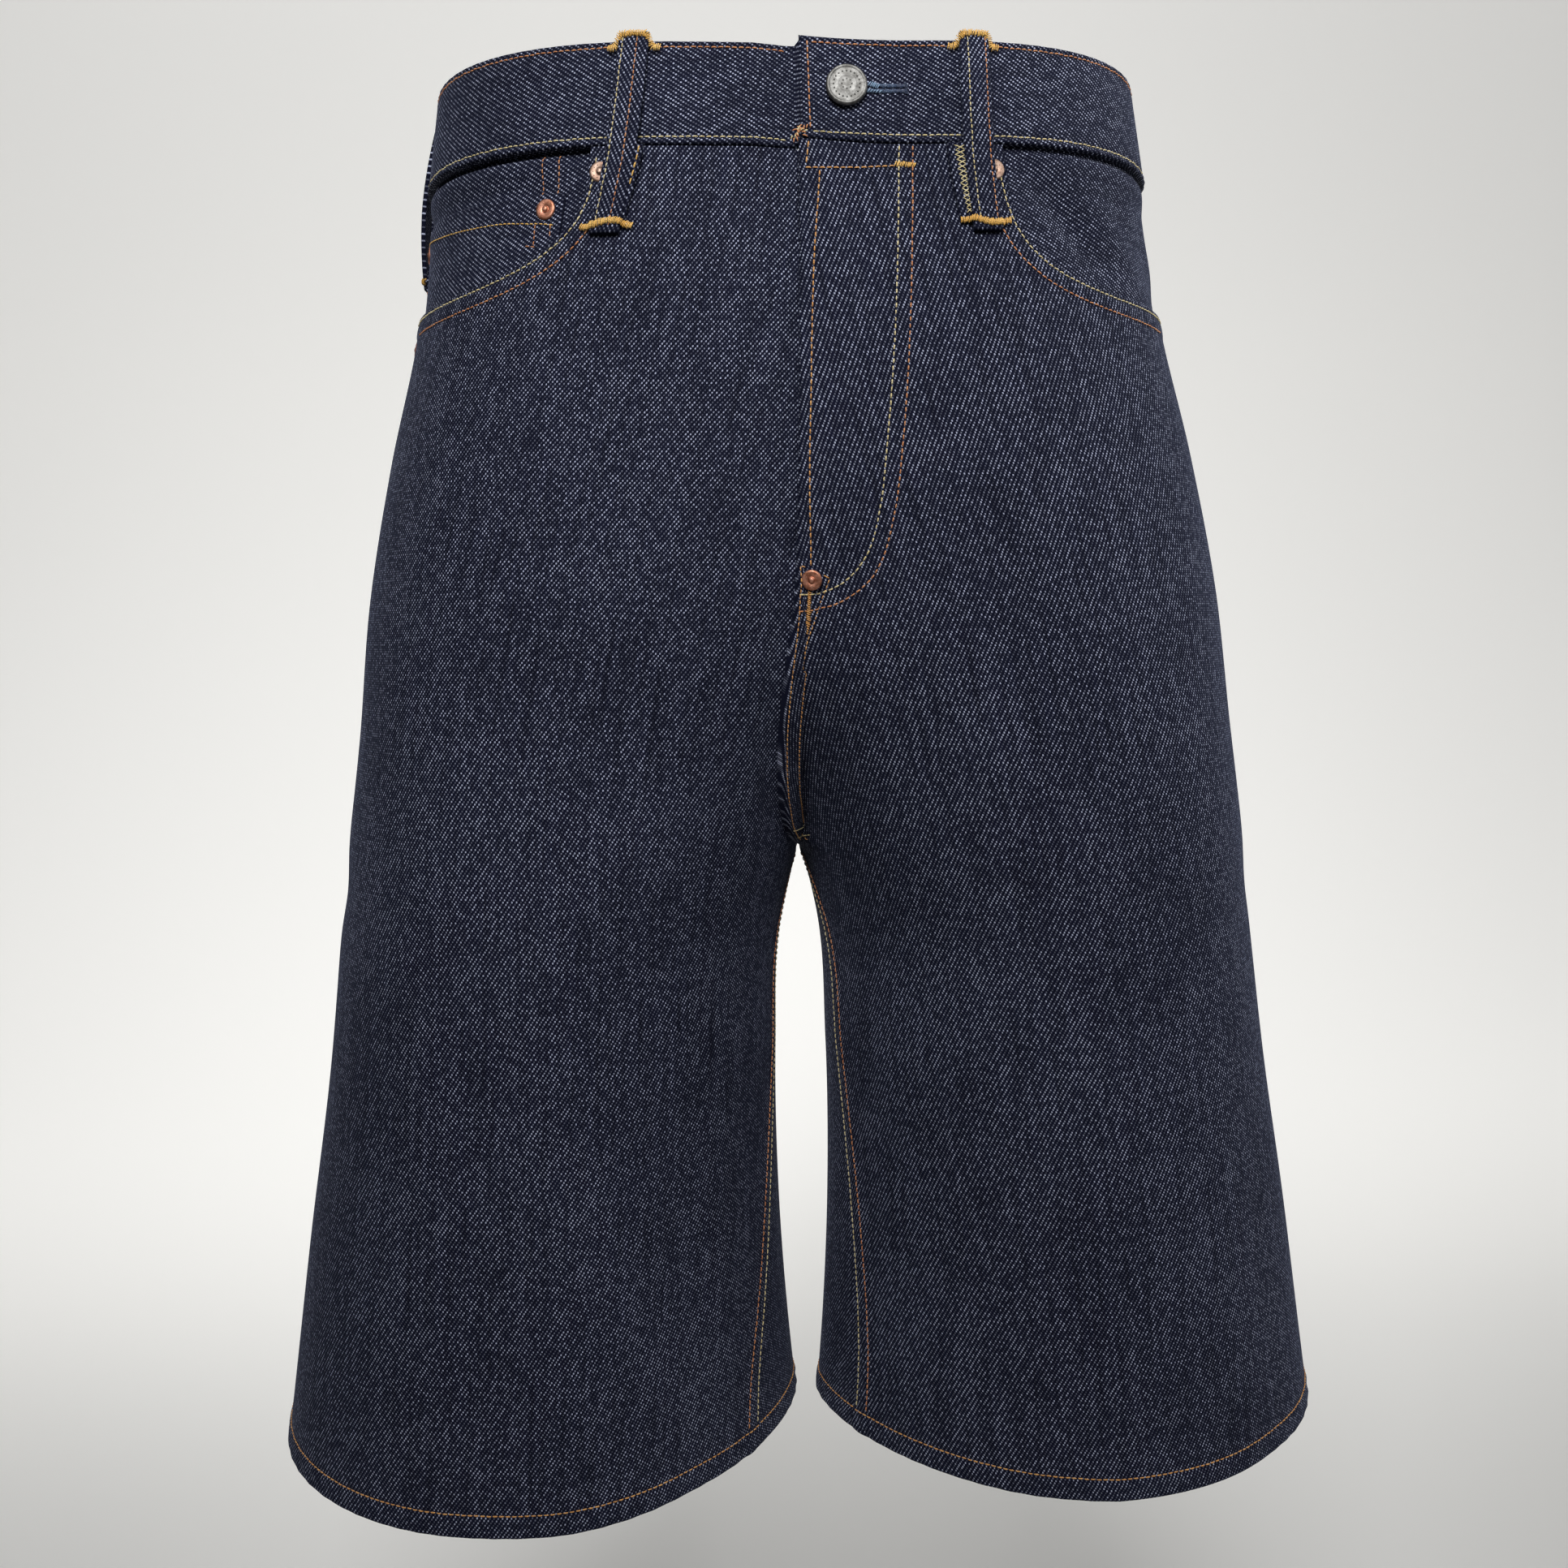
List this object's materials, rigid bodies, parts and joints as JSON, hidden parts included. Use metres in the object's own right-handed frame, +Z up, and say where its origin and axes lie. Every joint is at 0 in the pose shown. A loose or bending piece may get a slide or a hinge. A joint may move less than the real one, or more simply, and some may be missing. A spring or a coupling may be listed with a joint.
{
  "type": "denim shorts",
  "caption": "Knee-length raw denim shorts in their worn, hollow form, with a buttoned waistband, scoop front pockets, a coin pocket, a back yoke, patch pockets and belt loops.",
  "frame": {"origin": "middle of the waistband's ring, half way between its front and back heights, where the garment is held", "axes": "+Z up along the body, front towards -Y, the wearer's left towards +X"},
  "size_m": [0.5073, 0.2598, 0.6496],
  "materials": {
    "denim": "raw indigo right-hand twill",
    "pocket_denim": "raw indigo twill, cut across the grain",
    "copper": "satin copper",
    "silver": "matt worn silver"
  },
  "bodies": {
    "root": {"front_panel_left": "denim", "front_panel_right": "denim", "back_panel_left": "denim", "back_panel_right": "denim", "yoke_left": "denim", "yoke_right": "denim", "back_pocket_left": "denim", "back_pocket_right": "denim", "pocket_facing_left": "pocket_denim", "pocket_facing_right": "pocket_denim", "coin_pocket": "pocket_denim", "fly_facing": "denim", "fly_shield": "denim", "waistband": "pocket_denim", "belt_loop_front_left": "denim", "belt_loop_front_right": "denim", "belt_loop_side_left": "denim", "belt_loop_side_right": "denim", "belt_loop_centre_back": "denim", "waist_button": "silver", "rivet_fly_foot": "copper", "rivet_pocket_top_left": "copper", "rivet_pocket_top_right": "copper", "rivet_pocket_side_left": "copper", "rivet_pocket_side_right": "copper", "rivet_coin_inner": "copper", "rivet_coin_outer": "copper"}
  },
  "joints": []
}
